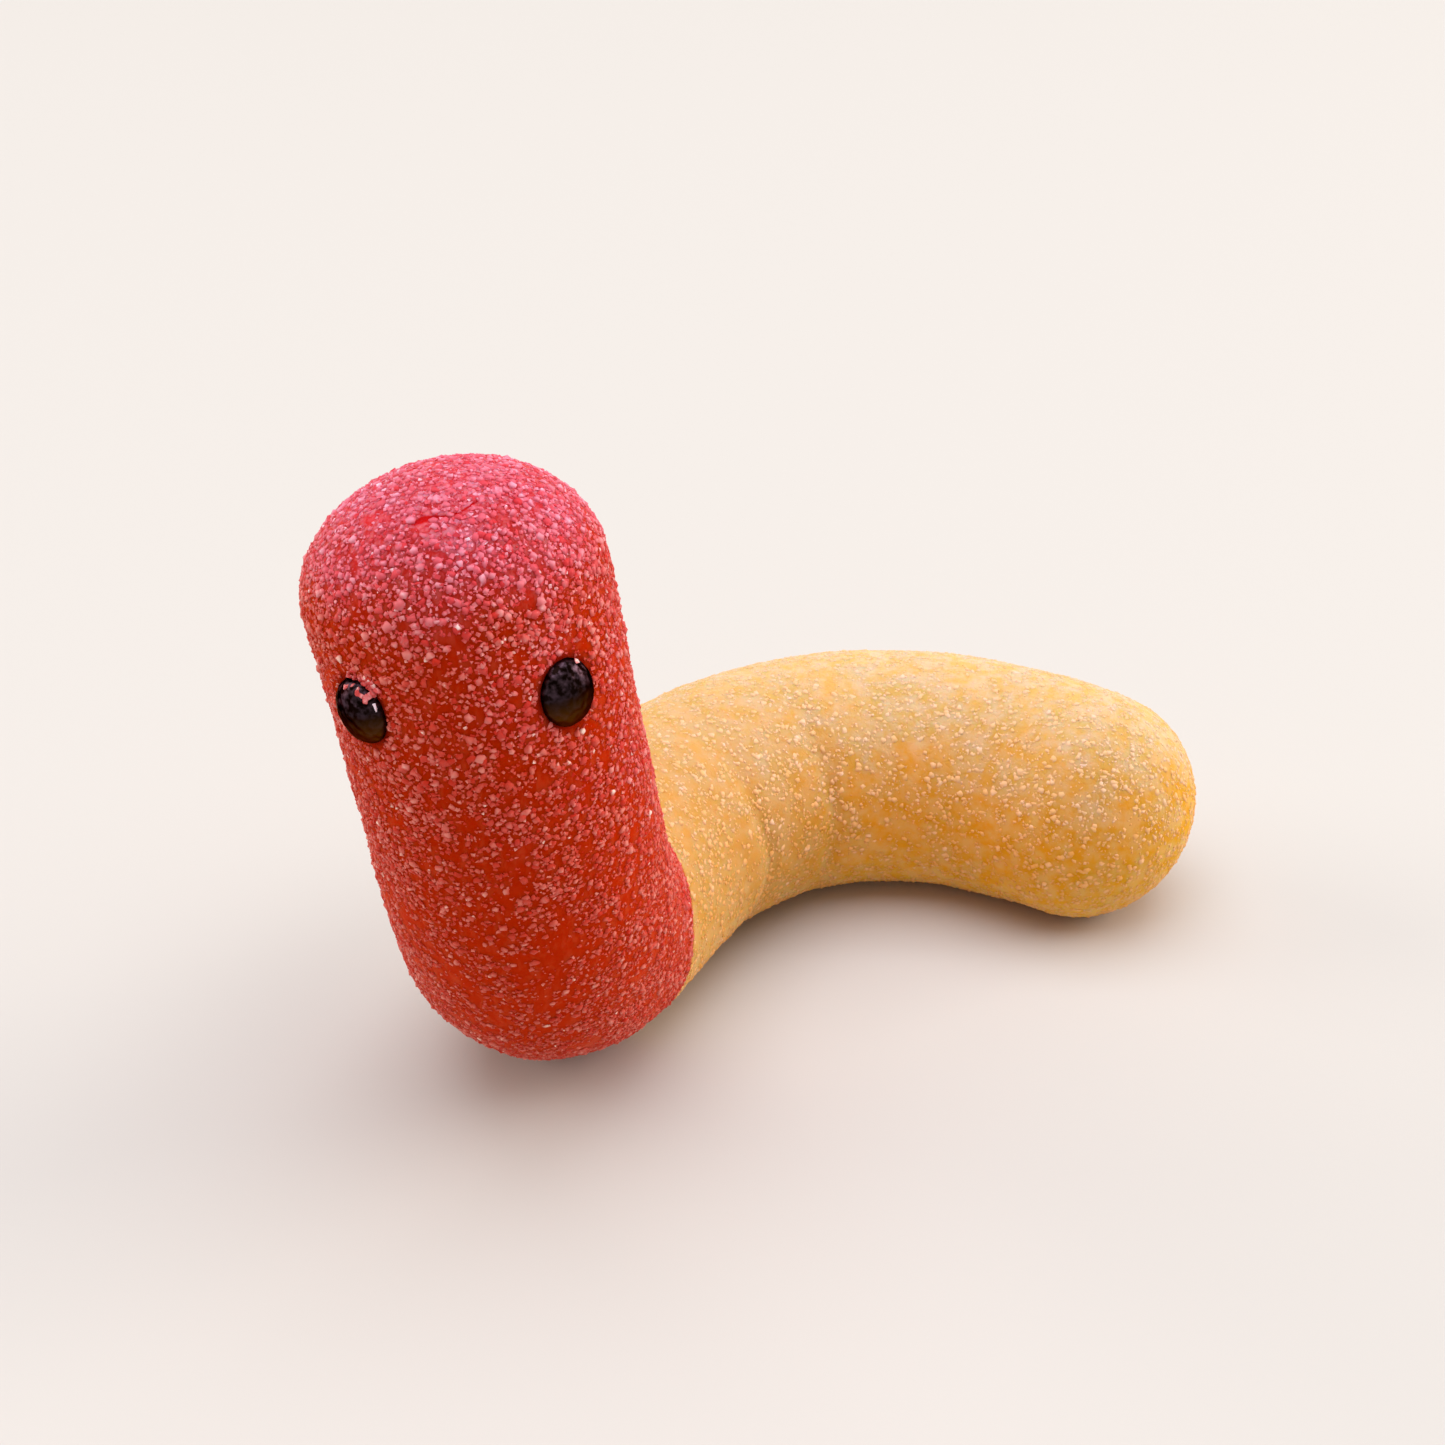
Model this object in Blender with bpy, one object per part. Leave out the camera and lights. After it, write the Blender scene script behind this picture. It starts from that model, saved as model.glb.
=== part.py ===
"""A plump sour gummy worm with two candy eyes. Its yellow half lies curled on the
surface and its red half stands up as a head. Metres, +Z up: the face looks along -Y,
and the tail ends at +X. The origin is the middle of the footprint."""

import math

import bmesh
import bpy
import numpy as np
from mathutils import Matrix, Vector

# Driving dimensions of the jelly, in metres
DIAMETER = 0.015
LYING = 0.0431  # from the tail's tip to where the worm starts to lift
BEND = 0.0140  # along the elbow
RAISED = 0.0275  # from the elbow to the head's tip
RED_STARTS = 0.0470  # from the tail's tip
TAIL_DOME = 0.0066
HEAD_DOME = 0.0058
SINK = 0.0005  # the soft underside is flattened by this much

# Directions in degrees: the lying half's heading, as the four controls of a Bezier
# curve from tail to elbow, and the raised half's lean at the elbow and at the tip
HEADINGS = (136.0, 136.2, 232.4, 244.2)
LEAN_LEFT = (1.5, 12.4)
LEAN_FORWARD = (28.9, -11.8)

# The tail and the head are slightly thinner than the middle
TAIL_TAPER = 0.057
TAIL_TAPER_LENGTH = 1.5 * DIAMETER
HEAD_TAPER = 0.040

# Eyes: half width, half height and half thickness, and for each its angle round the
# head from the front and its distance from the head's tip
EYE_HALF_SIZE = (0.00142, 0.00168, 0.00090)
EYE_DEPTH = 0.00015  # of the middle of the eye below the jelly's surface
EYE_GAP = 0.00020
EYES = {"eye_left": (-39.0, 0.0088), "eye_right": (43.0, 0.0094)}

# Creases on the inside of the curl: distance from the tail's tip, depth, half width
CREASES = ((0.0270, 0.00022, 0.0011), (0.0357, 0.00018, 0.0010))
CREASE_FRONT = 10.0  # degrees round the worm from the front, where each is deepest

# The jelly swells out at the right of the elbow: height, distance from the tail's
# tip, half length, then degrees round the worm from the front and their spread
SQUEEZE = 0.00070
SQUEEZE_AT = 0.0525
SQUEEZE_HALF = 0.0055
SQUEEZE_ANGLE = 100.0
SQUEEZE_SPREAD = 35.0

# Low unevenness: its height, then for each wave its length over a full turn and how
# many waves go round the worm
LUMP = 0.00005
LUMP_WAVES = ((0.0021, 2), (0.0034, -3))

# Sugar: only the coarsest crystals are solids
CRYSTALS = 200
CRYSTAL_SIZE = (0.00044, 0.00060)
CRYSTAL_STRETCH = (0.75, 1.15)
CRYSTAL_UNEVEN = 0.12  # of a crystal's size, that each corner is moved by at most
CRYSTAL_SUNK = 0.08  # of a crystal's size, of its middle below the surface
CRYSTAL_SPACING = 0.0023
CRYSTAL_SEED = 21
CLEAR_OF_TIP = 0.0015
CLEAR_OF_FLOOR = 0.0012
CLEAR_OF_EYE = 0.0029

# Fineness of the mesh
RING_STEP = 0.0016
DOME_RINGS = 6
DOME_ANGLES = (7.0, 90.0)  # of the first and the last ring, in degrees from the tip
SIDES = 28
BEAD_SIDES = 20
BEAD_RINGS = 12
FINE_STEPS = 1200
TURN_STEP = 0.001
SAME_POINT = 0.000001
SHARP_ANGLE = 35.0  # in degrees, over which an edge is drawn sharp
SLAB_THICKNESS = 0.01

# Looks of the solids: colour and roughness
LOOKS = {
    "yellow_jelly": ((0.86, 0.52, 0.16), 0.45),
    "red_jelly": ((0.60, 0.06, 0.03), 0.45),
    "sugar": ((0.90, 0.78, 0.74), 0.35),
    "eye_candy": ((0.012, 0.008, 0.008), 0.12),
}

RADIUS = DIAMETER / 2
LENGTH = LYING + BEND + RAISED


def smooth(t):
    t = np.clip(t, 0.0, 1.0)
    return t * t * (3.0 - 2.0 * t)


def unit(vectors):
    return vectors / np.linalg.norm(vectors, axis=-1, keepdims=True)


def lying_directions(along):
    """Which way the worm runs where it lies flat."""
    u = np.clip(along / LYING, 0.0, 1.0)
    a, b, c, d = HEADINGS
    degrees = (
        a * (1 - u) ** 3
        + 3 * b * u * (1 - u) ** 2
        + 3 * c * u**2 * (1 - u)
        + d * u**3
    )
    heading = np.radians(degrees)
    return np.column_stack([np.cos(heading), np.sin(heading), np.zeros_like(u)])


def raised_directions(along):
    """Which way the worm runs where it stands up."""
    v = np.clip((along - LYING - BEND) / RAISED, 0.0, 1.0)
    left = np.radians(LEAN_LEFT[0] + (LEAN_LEFT[1] - LEAN_LEFT[0]) * v)
    forward = np.radians(LEAN_FORWARD[0] + (LEAN_FORWARD[1] - LEAN_FORWARD[0]) * v)
    return unit(np.column_stack([-np.tan(left), -np.tan(forward), np.ones_like(v)]))


def middle_line():
    """The worm's middle from the tail's tip to the head's: distances, points, directions."""
    along = np.linspace(0.0, LENGTH, FINE_STEPS)
    flat = lying_directions(along)
    up = raised_directions(along)
    share = smooth((along - LYING) / BEND)[:, None]
    turn = np.arccos(np.clip((flat * up).sum(axis=1), -1.0, 1.0))[:, None]
    direction = unit(np.sin((1 - share) * turn) * flat + np.sin(share * turn) * up)
    step = LENGTH / (FINE_STEPS - 1)
    steps = (direction[1:] + direction[:-1]) / 2 * step
    points = np.vstack([np.zeros(3), np.cumsum(steps, axis=0)])
    points[:, 2] += RADIUS - SINK
    return along, points, direction


ALONG, POINTS, DIRECTIONS = middle_line()


def at(along, table):
    """A row of one of the tables at each distance along the worm."""
    return np.column_stack([np.interp(along, ALONG, table[:, k]) for k in range(3)])


def radius(along):
    """The worm's radius, with a dome at each end."""
    tail = np.clip(1 - along / TAIL_TAPER_LENGTH, 0, 1) ** 2
    head = smooth((along - LYING - BEND) / DIAMETER)
    full = RADIUS * (1 - TAIL_TAPER * tail) * (1 - HEAD_TAPER * head)
    tail_share = np.clip(1 - along / TAIL_DOME, 0, 1)
    head_share = np.clip(1 - (LENGTH - along) / HEAD_DOME, 0, 1)
    return full * np.sqrt(1 - tail_share**2) * np.sqrt(1 - head_share**2)


def cross_axes(along):
    """At each distance, the axes across the worm towards its front and its right side."""
    direction = unit(at(along, DIRECTIONS))
    front = np.array([0.0, -1.0, 0.0]) - direction * -direction[:, 1:2]
    front = unit(front)
    return direction, front, np.cross(direction, front)


def squeeze(along, angle):
    """How far the jelly swells out at the elbow, at an angle from the front in radians."""
    turned = (np.degrees(angle) - SQUEEZE_ANGLE + 180) % 360 - 180
    lengthways = ((along - SQUEEZE_AT) / SQUEEZE_HALF) ** 2
    return SQUEEZE * np.exp(-lengthways - (turned / SQUEEZE_SPREAD) ** 2)


def surface(along, degrees):
    """Points on the jelly, and the directions out of it."""
    along = np.atleast_1d(along)
    angle = np.radians(np.atleast_1d(degrees))
    _, front, side = cross_axes(along)
    outward = np.cos(angle)[:, None] * front + np.sin(angle)[:, None] * side
    reach = radius(along) + squeeze(along, angle)
    return at(along, POINTS) + reach[:, None] * outward, outward


def ring_stations():
    """Distances of the mesh's rings: close at the domes, even along the body."""
    angles = np.radians(np.linspace(*DOME_ANGLES, DOME_RINGS))
    tail = TAIL_DOME * (1 - np.cos(angles))
    head = LENGTH - HEAD_DOME * (1 - np.cos(angles))[::-1]
    count = round((head[0] - tail[-1]) / RING_STEP)
    body = np.linspace(tail[-1], head[0], count + 1)[1:-1]
    return np.concatenate([tail, body, head])


def material(name):
    colour, roughness = LOOKS[name]
    made = bpy.data.materials.new(name)
    made.use_nodes = True
    shader = made.node_tree.nodes["Principled BSDF"]
    shader.inputs["Base Color"].default_value = (*colour, 1.0)
    shader.inputs["Roughness"].default_value = roughness
    shader.inputs["Metallic"].default_value = 0.0
    made.diffuse_color = (*colour, 1.0)
    return made


def mesh_object(name, mesh, collection):
    made = bpy.data.objects.new(name, mesh)
    collection.objects.link(made)
    return made


def evaluated_mesh(obj):
    graph = bpy.context.evaluated_depsgraph_get()
    return bpy.data.meshes.new_from_object(obj.evaluated_get(graph))


def worm_tube(collection):
    """The jelly before its relief: a bevelled curve whose point radius makes the domes."""
    stations = ring_stations()
    curve = bpy.data.curves.new("worm_curve", "CURVE")
    curve.dimensions = "3D"
    curve.bevel_depth = RADIUS
    curve.bevel_resolution = (SIDES - 4) // 2  # Blender adds four sides to twice this
    curve.use_fill_caps = True
    spline = curve.splines.new("POLY")
    spline.points.add(len(stations) - 1)
    places = at(stations, POINTS)
    shares = radius(stations) / RADIUS
    for point, place, share in zip(spline.points, places, shares):
        point.co = (*place, 1.0)
        point.radius = share
    guide = mesh_object("worm_curve", curve, collection)
    mesh = evaluated_mesh(guide)
    bpy.data.objects.remove(guide)
    shape = bmesh.new()
    shape.from_mesh(mesh)
    bmesh.ops.remove_doubles(shape, verts=shape.verts, dist=SAME_POINT)
    bmesh.ops.recalc_face_normals(shape, faces=shape.faces)
    shape.to_mesh(mesh)
    shape.free()
    return mesh


def nearest_along(places):
    """How far along the worm each place is, by the nearest point of its middle."""
    apart = np.linalg.norm(places[:, None, :] - POINTS[None, :, :], axis=2)
    return ALONG[apart.argmin(axis=1)]


def relief(mesh):
    """Moves the tube's points out at the elbow, in at the creases, and by low lumps."""
    places = np.empty(len(mesh.vertices) * 3)
    mesh.vertices.foreach_get("co", places)
    places = places.reshape(-1, 3)
    along = nearest_along(places)
    _, front, side = cross_axes(along)
    out = unit(places - at(along, POINTS))
    angle = np.arctan2((out * side).sum(axis=1), (out * front).sum(axis=1))
    height = squeeze(along, angle)
    for length, round_it in LUMP_WAVES:
        height += LUMP / len(LUMP_WAVES) * np.sin(along / length + round_it * angle)
    for where, depth, half_width in CREASES:
        across = np.exp(-(((along - where) / half_width) ** 2))
        facing = np.clip(np.cos(angle - np.radians(CREASE_FRONT)), 0, 1) ** 2
        height -= depth * across * facing
    places += out * height[:, None]
    mesh.vertices.foreach_set("co", places.ravel())


def colour_halves(mesh):
    """The jelly is poured in two colours that meet just behind the elbow."""
    centres = np.array([face.center for face in mesh.polygons])
    red = nearest_along(centres) > RED_STARTS
    mesh.polygons.foreach_set("material_index", red.astype(np.int32))


def far_from(places, others, least):
    if len(others) == 0:
        return True
    return np.linalg.norm(np.array(others) - places, axis=1).min() > least


def crystal_places(random):
    """Seats for the coarse crystals: apart, off the floor, the eyes and the tight elbow."""
    eyes = [eye_seat(*where)[0] for where in EYES.values()]
    chosen = []
    seats = []
    while len(seats) < CRYSTALS:
        along = random.uniform(CLEAR_OF_TIP, LENGTH - CLEAR_OF_TIP)
        degrees = random.uniform(-180.0, 180.0)
        seat, out = surface(along, degrees)
        seat = seat[0]
        out = out[0]
        ahead = at(np.array([along, along + TURN_STEP]), DIRECTIONS)
        inside = float(out @ (ahead[1] - ahead[0])) > 0
        pinched = LYING < along < LYING + BEND and inside
        dome = min(along / TAIL_DOME, (LENGTH - along) / HEAD_DOME)
        if dome < 1.0:
            out = unit(out + (1 - dome) * dome_end(along))
        clear = seat[2] > CLEAR_OF_FLOOR and far_from(seat, eyes, CLEAR_OF_EYE)
        if clear and not pinched and far_from(seat, chosen, CRYSTAL_SPACING):
            chosen.append(seat)
            seats.append((seat, out))
    return seats


def dome_end(along):
    """The way out of whichever end is nearer."""
    direction = unit(at(np.array([along]), DIRECTIONS))[0]
    return direction if along > LENGTH / 2 else -direction


def crystal(name, seat, out, random, look, collection):
    """A blocky sugar crystal with uneven corners, part sunk in the jelly."""
    size = random.uniform(*CRYSTAL_SIZE)
    shape = bmesh.new()
    bmesh.ops.create_cube(shape, size=size)
    stretch = random.uniform(*CRYSTAL_STRETCH, 3)
    for vert in shape.verts:
        nudge = random.uniform(-CRYSTAL_UNEVEN, CRYSTAL_UNEVEN, 3) * size
        vert.co = Vector(np.array(vert.co) * stretch + nudge)
    bmesh.ops.triangulate(shape, faces=shape.faces)
    spin = Matrix.Rotation(random.uniform(0, math.tau), 4, Vector(random.normal(size=3)))
    mesh = bpy.data.meshes.new(name)
    shape.to_mesh(mesh)
    shape.free()
    mesh.materials.append(look)
    made = mesh_object(name, mesh, collection)
    made.matrix_world = Matrix.Translation(Vector(seat - out * CRYSTAL_SUNK * size)) @ spin
    return made


def fuse_crystals(worm, look, collection):
    """Joins the coarse crystals to the jelly by one union, then drops their objects."""
    random = np.random.default_rng(CRYSTAL_SEED)
    for number, (seat, out) in enumerate(crystal_places(random)):
        crystal(f"crystal_{number:03d}", seat, out, random, look, collection)
    union = worm.modifiers.new("fuse_crystals", "BOOLEAN")
    union.operation = "UNION"
    union.operand_type = "COLLECTION"
    union.collection = collection
    union.solver = "EXACT"
    union.material_mode = "TRANSFER"
    fused = evaluated_mesh(worm)
    worm.modifiers.remove(union)
    worm.data = fused
    for made in list(collection.objects):
        bpy.data.objects.remove(made)


def eye_seat(degrees, from_tip):
    """The middle of an eye, and a matrix that faces it out of the head."""
    along = LENGTH - from_tip
    place, out = surface(along, degrees)
    up = unit(at(np.array([along]), DIRECTIONS))[0]
    out = out[0]
    across = np.cross(up, out)
    middle = place[0] - out * EYE_DEPTH
    turned = Matrix(np.column_stack([across, up, out]).tolist()).to_4x4()
    return middle, Matrix.Translation(Vector(middle)) @ turned


def bead(name, where, extra, look, collection):
    """An oval bead at an eye's seat, larger all round by extra."""
    _, seat = eye_seat(*where)
    shape = bmesh.new()
    bmesh.ops.create_uvsphere(shape, u_segments=BEAD_SIDES, v_segments=BEAD_RINGS, radius=1.0)
    size = [half + extra for half in EYE_HALF_SIZE]
    bmesh.ops.scale(shape, vec=Vector(size), verts=shape.verts)
    mesh = bpy.data.meshes.new(name)
    shape.to_mesh(mesh)
    shape.free()
    mesh.materials.append(look)
    mesh.shade_smooth()
    made = mesh_object(name, mesh, collection)
    made.matrix_world = seat
    return made


def as_cutter(obj):
    obj.hide_render = True
    obj.display_type = "WIRE"
    return obj


def cut(target, cutter):
    difference = target.modifiers.new(cutter.name, "BOOLEAN")
    difference.operation = "DIFFERENCE"
    difference.object = cutter
    difference.solver = "EXACT"


def floor_slab(look, collection):
    """All that is below the resting plane, wide enough for the whole worm."""
    size = Vector((2 * LENGTH, 2 * LENGTH, SLAB_THICKNESS))
    shape = bmesh.new()
    bmesh.ops.create_cube(shape, size=1.0)
    bmesh.ops.scale(shape, vec=size, verts=shape.verts)
    bmesh.ops.translate(shape, vec=Vector((0, 0, -SLAB_THICKNESS / 2)), verts=shape.verts)
    mesh = bpy.data.meshes.new("floor_slab")
    shape.to_mesh(mesh)
    shape.free()
    mesh.materials.append(look)
    return mesh_object("floor_slab", mesh, collection)


def centre_on_origin(worm, others):
    """Puts the middle of the worm's footprint at the origin."""
    mesh = evaluated_mesh(worm)
    places = np.empty(len(mesh.vertices) * 3)
    mesh.vertices.foreach_get("co", places)
    places = places.reshape(-1, 3)
    bpy.data.meshes.remove(mesh)
    middle = (places.min(axis=0) + places.max(axis=0)) / 2
    shift = Matrix.Translation(Vector((-middle[0], -middle[1], 0.0)))
    for obj in [worm, *others]:
        obj.matrix_world = shift @ obj.matrix_world


def new_collection(name):
    made = bpy.data.collections.new(name)
    bpy.context.scene.collection.children.link(made)
    return made


def main():
    for obj in list(bpy.data.objects):
        bpy.data.objects.remove(obj)
    candy = new_collection("gummy_worm")
    cutters = new_collection("cutters")
    sugar = new_collection("sugar")

    yellow = material("yellow_jelly")
    red = material("red_jelly")
    white = material("sugar")
    black = material("eye_candy")

    mesh = worm_tube(candy)
    mesh.materials.append(yellow)
    mesh.materials.append(red)
    relief(mesh)
    colour_halves(mesh)
    worm = mesh_object("worm", mesh, candy)
    fuse_crystals(worm, white, sugar)
    worm.data.shade_smooth()
    worm.data.set_sharp_from_angle(angle=math.radians(SHARP_ANGLE))

    slab = as_cutter(floor_slab(yellow, cutters))
    cut(worm, slab)
    eyes = []
    sockets = []
    for name, where in EYES.items():
        eyes.append(bead(name, where, 0.0, black, candy))
        socket = as_cutter(bead(f"{name}_socket", where, EYE_GAP, red, cutters))
        cut(worm, socket)
        sockets.append(socket)
    bpy.data.collections.remove(sugar)
    centre_on_origin(worm, [*eyes, *sockets, slab])


main()
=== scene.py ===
# %% [markdown]
# A sour gummy worm, dressed for its portrait. The packed solids give the frame: a bent
# jelly with two sockets, and two beads in them. This lesson lays a fine skin of jelly
# over that frame, coats it with sugar crystals, sets glossy beads in the sockets, and
# lights it on a pale floor.

# %% Load the frame
import math

import bmesh
import bpy
import numpy as np
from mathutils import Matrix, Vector


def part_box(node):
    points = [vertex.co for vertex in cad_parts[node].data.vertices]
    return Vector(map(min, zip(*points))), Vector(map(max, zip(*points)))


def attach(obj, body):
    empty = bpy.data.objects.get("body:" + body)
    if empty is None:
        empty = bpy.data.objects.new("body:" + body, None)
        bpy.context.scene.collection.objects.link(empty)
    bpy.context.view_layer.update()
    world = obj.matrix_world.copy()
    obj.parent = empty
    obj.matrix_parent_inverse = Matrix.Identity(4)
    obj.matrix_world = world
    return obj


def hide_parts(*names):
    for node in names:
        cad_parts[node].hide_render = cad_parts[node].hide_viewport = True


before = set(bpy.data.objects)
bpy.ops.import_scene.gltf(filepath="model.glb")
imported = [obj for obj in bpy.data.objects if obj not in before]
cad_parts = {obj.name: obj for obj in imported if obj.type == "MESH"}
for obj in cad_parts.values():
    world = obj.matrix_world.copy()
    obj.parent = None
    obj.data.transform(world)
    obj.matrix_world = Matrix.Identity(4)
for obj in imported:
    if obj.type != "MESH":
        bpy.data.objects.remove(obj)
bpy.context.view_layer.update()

# %% [markdown]
# Almost everything on the worm fades from one state to another: the red into the yellow,
# thick sugar into thin. A straight ramp would show an edge where it starts and stops, so
# the fades use a soft step that is level at both ends. The worm's shape is told in
# directions, and they need a length of one.


# %% A soft step, and directions
def smooth(t):
    """0 below 0, 1 above 1, and between them 3 t squared minus 2 t cubed."""
    t = np.clip(t, 0.0, 1.0)
    return t * t * (3.0 - 2.0 * t)


def unit(vectors):
    """Each vector divided by its own length."""
    return vectors / np.linalg.norm(vectors, axis=-1, keepdims=True)


print("the soft step at a quarter, a half and three quarters:", smooth(np.array([0.25, 0.5, 0.75])))

# %% [markdown]
# The worm is a poured rope of jelly, so one line through its middle decides everything:
# it lies curled on the surface, turns up at the elbow, and leans as a head. It could be
# a Bezier curve drawn by hand, but directions are easier to reason about than handles:
# a heading while it lies, a lean while it stands, and a smooth turn from one to the
# other. Adding up the directions gives the line. The numbers are the solid's own, in
# metres and degrees.

# %% The middle line
RADIUS = 0.0075
SINK = 0.0005
LYING = 0.0431
BEND = 0.0140
RAISED = 0.0275
LENGTH = LYING + BEND + RAISED
HEADINGS = (136.0, 136.2, 232.4, 244.2)
LEAN_LEFT = (1.5, 12.4)
LEAN_FORWARD = (28.9, -11.8)
LINE_STEPS = 1200


def middle_line():
    """Distances, points and directions from the tail's tip to the head's tip.

    The lying heading is a cubic Bezier of four angles, the standing lean changes evenly,
    and a spherical blend turns one into the other along the elbow.
    """
    along = np.linspace(0.0, LENGTH, LINE_STEPS)
    u = np.clip(along / LYING, 0.0, 1.0)
    a, b, c, d = np.radians(HEADINGS)
    heading = a * (1 - u) ** 3 + 3 * b * u * (1 - u) ** 2 + 3 * c * u**2 * (1 - u) + d * u**3
    flat = np.column_stack([np.cos(heading), np.sin(heading), np.zeros_like(u)])
    v = np.clip((along - LYING - BEND) / RAISED, 0.0, 1.0)
    left = np.radians(LEAN_LEFT[0] + (LEAN_LEFT[1] - LEAN_LEFT[0]) * v)
    forward = np.radians(LEAN_FORWARD[0] + (LEAN_FORWARD[1] - LEAN_FORWARD[0]) * v)
    up = unit(np.column_stack([-np.tan(left), -np.tan(forward), np.ones_like(v)]))
    share = smooth((along - LYING) / BEND)[:, None]
    turn = np.arccos(np.clip((flat * up).sum(axis=1), -1.0, 1.0))[:, None]
    direction = unit(np.sin((1 - share) * turn) * flat + np.sin(share * turn) * up)
    step = LENGTH / (LINE_STEPS - 1)
    steps = (direction[1:] + direction[:-1]) / 2 * step
    points = np.vstack([np.zeros(3), np.cumsum(steps, axis=0)])
    points[:, 2] += RADIUS - SINK
    return along, points, direction


ALONG, POINTS, DIRECTIONS = middle_line()
print("middle line in mm:", round(LENGTH * 1000, 1), "up to", round(POINTS[-1, 2] * 1000, 1))

# %% [markdown]
# A place on the worm has two numbers: how far along it is, and how far round. The jelly
# is a little thinner towards both ends, and each end is a dome, which is a quarter of an
# ellipse. The angle round it counts from the front, the way the face looks.

# %% Thickness, and the way out of the worm's side
TAIL_DOME = 0.0066
HEAD_DOME = 0.0058
TAIL_TAPER = 0.057
TAIL_TAPER_LENGTH = 3 * RADIUS
HEAD_TAPER = 0.040
HEAD_TAPER_LENGTH = 2 * RADIUS
FACE_WAY = np.array([0.0, -1.0, 0.0])


def at(along, table):
    """A row of one of the line's tables at each distance, by straight interpolation."""
    return np.stack([np.interp(along, ALONG, table[:, k]) for k in range(3)], axis=-1)


def radius(along):
    """Half the worm's thickness: full, less a taper at each end, times each end's dome.

    A dome is the root of 1 minus the square of how far into it a place is.
    """
    tail = np.clip(1 - along / TAIL_TAPER_LENGTH, 0, 1) ** 2
    head = smooth((along - LYING - BEND) / HEAD_TAPER_LENGTH)
    full = RADIUS * (1 - TAIL_TAPER * tail) * (1 - HEAD_TAPER * head)
    tail_share = np.clip(1 - along / TAIL_DOME, 0, 1)
    head_share = np.clip(1 - (LENGTH - along) / HEAD_DOME, 0, 1)
    return full * np.sqrt(1 - tail_share**2) * np.sqrt(1 - head_share**2)


def outward(along, angle):
    """The direction straight out of the worm's side at an angle from its front.

    The front is the face's way less its part along the worm, and the side is square to
    both. Out is the angle's cosine of the front plus its sine of the side.
    """
    direction = unit(at(along, DIRECTIONS))
    front = unit(FACE_WAY + direction * direction[..., 1:2])
    side = np.cross(direction, front)
    return np.cos(angle)[..., None] * front + np.sin(angle)[..., None] * side


def turned_from(middle, angle):
    """An angle less the middle one, brought between minus and plus half a turn."""
    return (angle - middle + math.pi) % math.tau - math.pi


print("thickness at the elbow in mm:", round(2000 * float(radius(LYING)), 1))

# %% [markdown]
# On the domes the skin no longer faces straight out of the side. The radius shrinks
# there, and how fast it shrinks says how far the skin leans towards the tip.

# %% The way out of the skin, domes included
NEAR_TIP = 1e-5
FINE_STEPS = 3000
FINE_ALONG = np.linspace(NEAR_TIP, LENGTH - NEAR_TIP, FINE_STEPS)
FINE_SLOPE = np.gradient(radius(FINE_ALONG), FINE_ALONG)


def dome_out(along, out):
    """Out of the side less the radius's slope times the direction along the worm."""
    lean = np.interp(along, FINE_ALONG, FINE_SLOPE)
    return unit(out - unit(at(along, DIRECTIONS)) * lean[..., None])


print("steepest slopes:", FINE_SLOPE.max().round(1), FINE_SLOPE.min().round(1))

# %% [markdown]
# The solid was moved so that the middle of its footprint is the origin. The beads are
# the best marks for finding that move: each sits at a known angle round the head and a
# known distance from its tip, and the frame says where each one ended up.

# %% Seats of the eyes, and the move to the frame
EYE_HALF_SIZE = np.array([0.00142, 0.00168, 0.00090])
EYE_DEPTH = 0.00015
# Each eye's degrees round the head, and its distance from the head's tip.
EYES = {"eye_left": (-39.0, 0.0088), "eye_right": (43.0, 0.0094)}


def eye_seat(degrees, from_tip):
    """The bead's middle and its three axes: across, up the head, and out of it.

    The middle lies on the way out, at the radius less the bead's depth.
    """
    along = np.array([LENGTH - from_tip])
    out = outward(along, np.radians([degrees]))
    up = unit(at(along, DIRECTIONS))
    place = at(along, POINTS) + (radius(along)[:, None] - EYE_DEPTH) * out
    return place[0], np.vstack([np.cross(up, out), up, out])


def move_needed(name):
    """The middle of the eye's box in the frame, less the middle worked out here."""
    low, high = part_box(name)
    return (np.array(low) + np.array(high)) / 2 - eye_seat(*EYES[name])[0]


moves = [move_needed(name) for name in EYES]
move = np.mean(moves, axis=0)
POINTS += move
SEATS = {name: eye_seat(*where) for name, where in EYES.items()}
print("move in mm:", (move * 1000).round(3), "spread:", (np.ptp(moves, axis=0) * 1000).round(3))

# %% [markdown]
# Many finishes need soft random patterns on the worm: where sugar is thick, how the
# jelly swells. A noise texture could give one, but only to a material. A sum of two
# dozen sine waves in random directions is smooth everywhere, the same on each run, and
# a few lines of array maths that shapes and finishes can share.

# %% Soft random patterns
WAVE_COUNT = 24
WAVE_LENGTHS = (0.7, 1.5)
WAVE_PEAK = 1.6


def waves(places, size, seed):
    """A pattern from -1 to 1 in space, with swellings about as long as the size.

    Each wave is the sine of the place's distance along the wave's own direction, a full
    turn to a length. Their sum is divided by the root of their number, and what is past
    the peak is clipped.
    """
    random = np.random.default_rng(seed)
    ways = unit(random.normal(size=(WAVE_COUNT, 3)))
    lengths = size * random.uniform(*WAVE_LENGTHS, WAVE_COUNT)
    phases = random.uniform(0, math.tau, WAVE_COUNT)
    angles = np.tensordot(places, (ways / lengths[:, None]).T * math.tau, axes=1) + phases
    total = np.sin(angles).sum(axis=-1) / math.sqrt(WAVE_COUNT)
    return np.clip(total, -WAVE_PEAK, WAVE_PEAK) / WAVE_PEAK


print("a pattern along the middle line:", waves(POINTS[::300], RADIUS, seed=1).round(2))

# %% [markdown]
# The coating stops short of the beads, the jelly gives way under them, and it is painted
# darker at their edge, as shade. All three ask how far a place is from a bead, measured in
# the bead's own half sizes, so that the ring round an oval bead is oval too.

# %% Distance from the beads
# A place further than this along a bead's own way out, in half sizes, isn't beside it.
SAME_SIDE = 3.0


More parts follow.
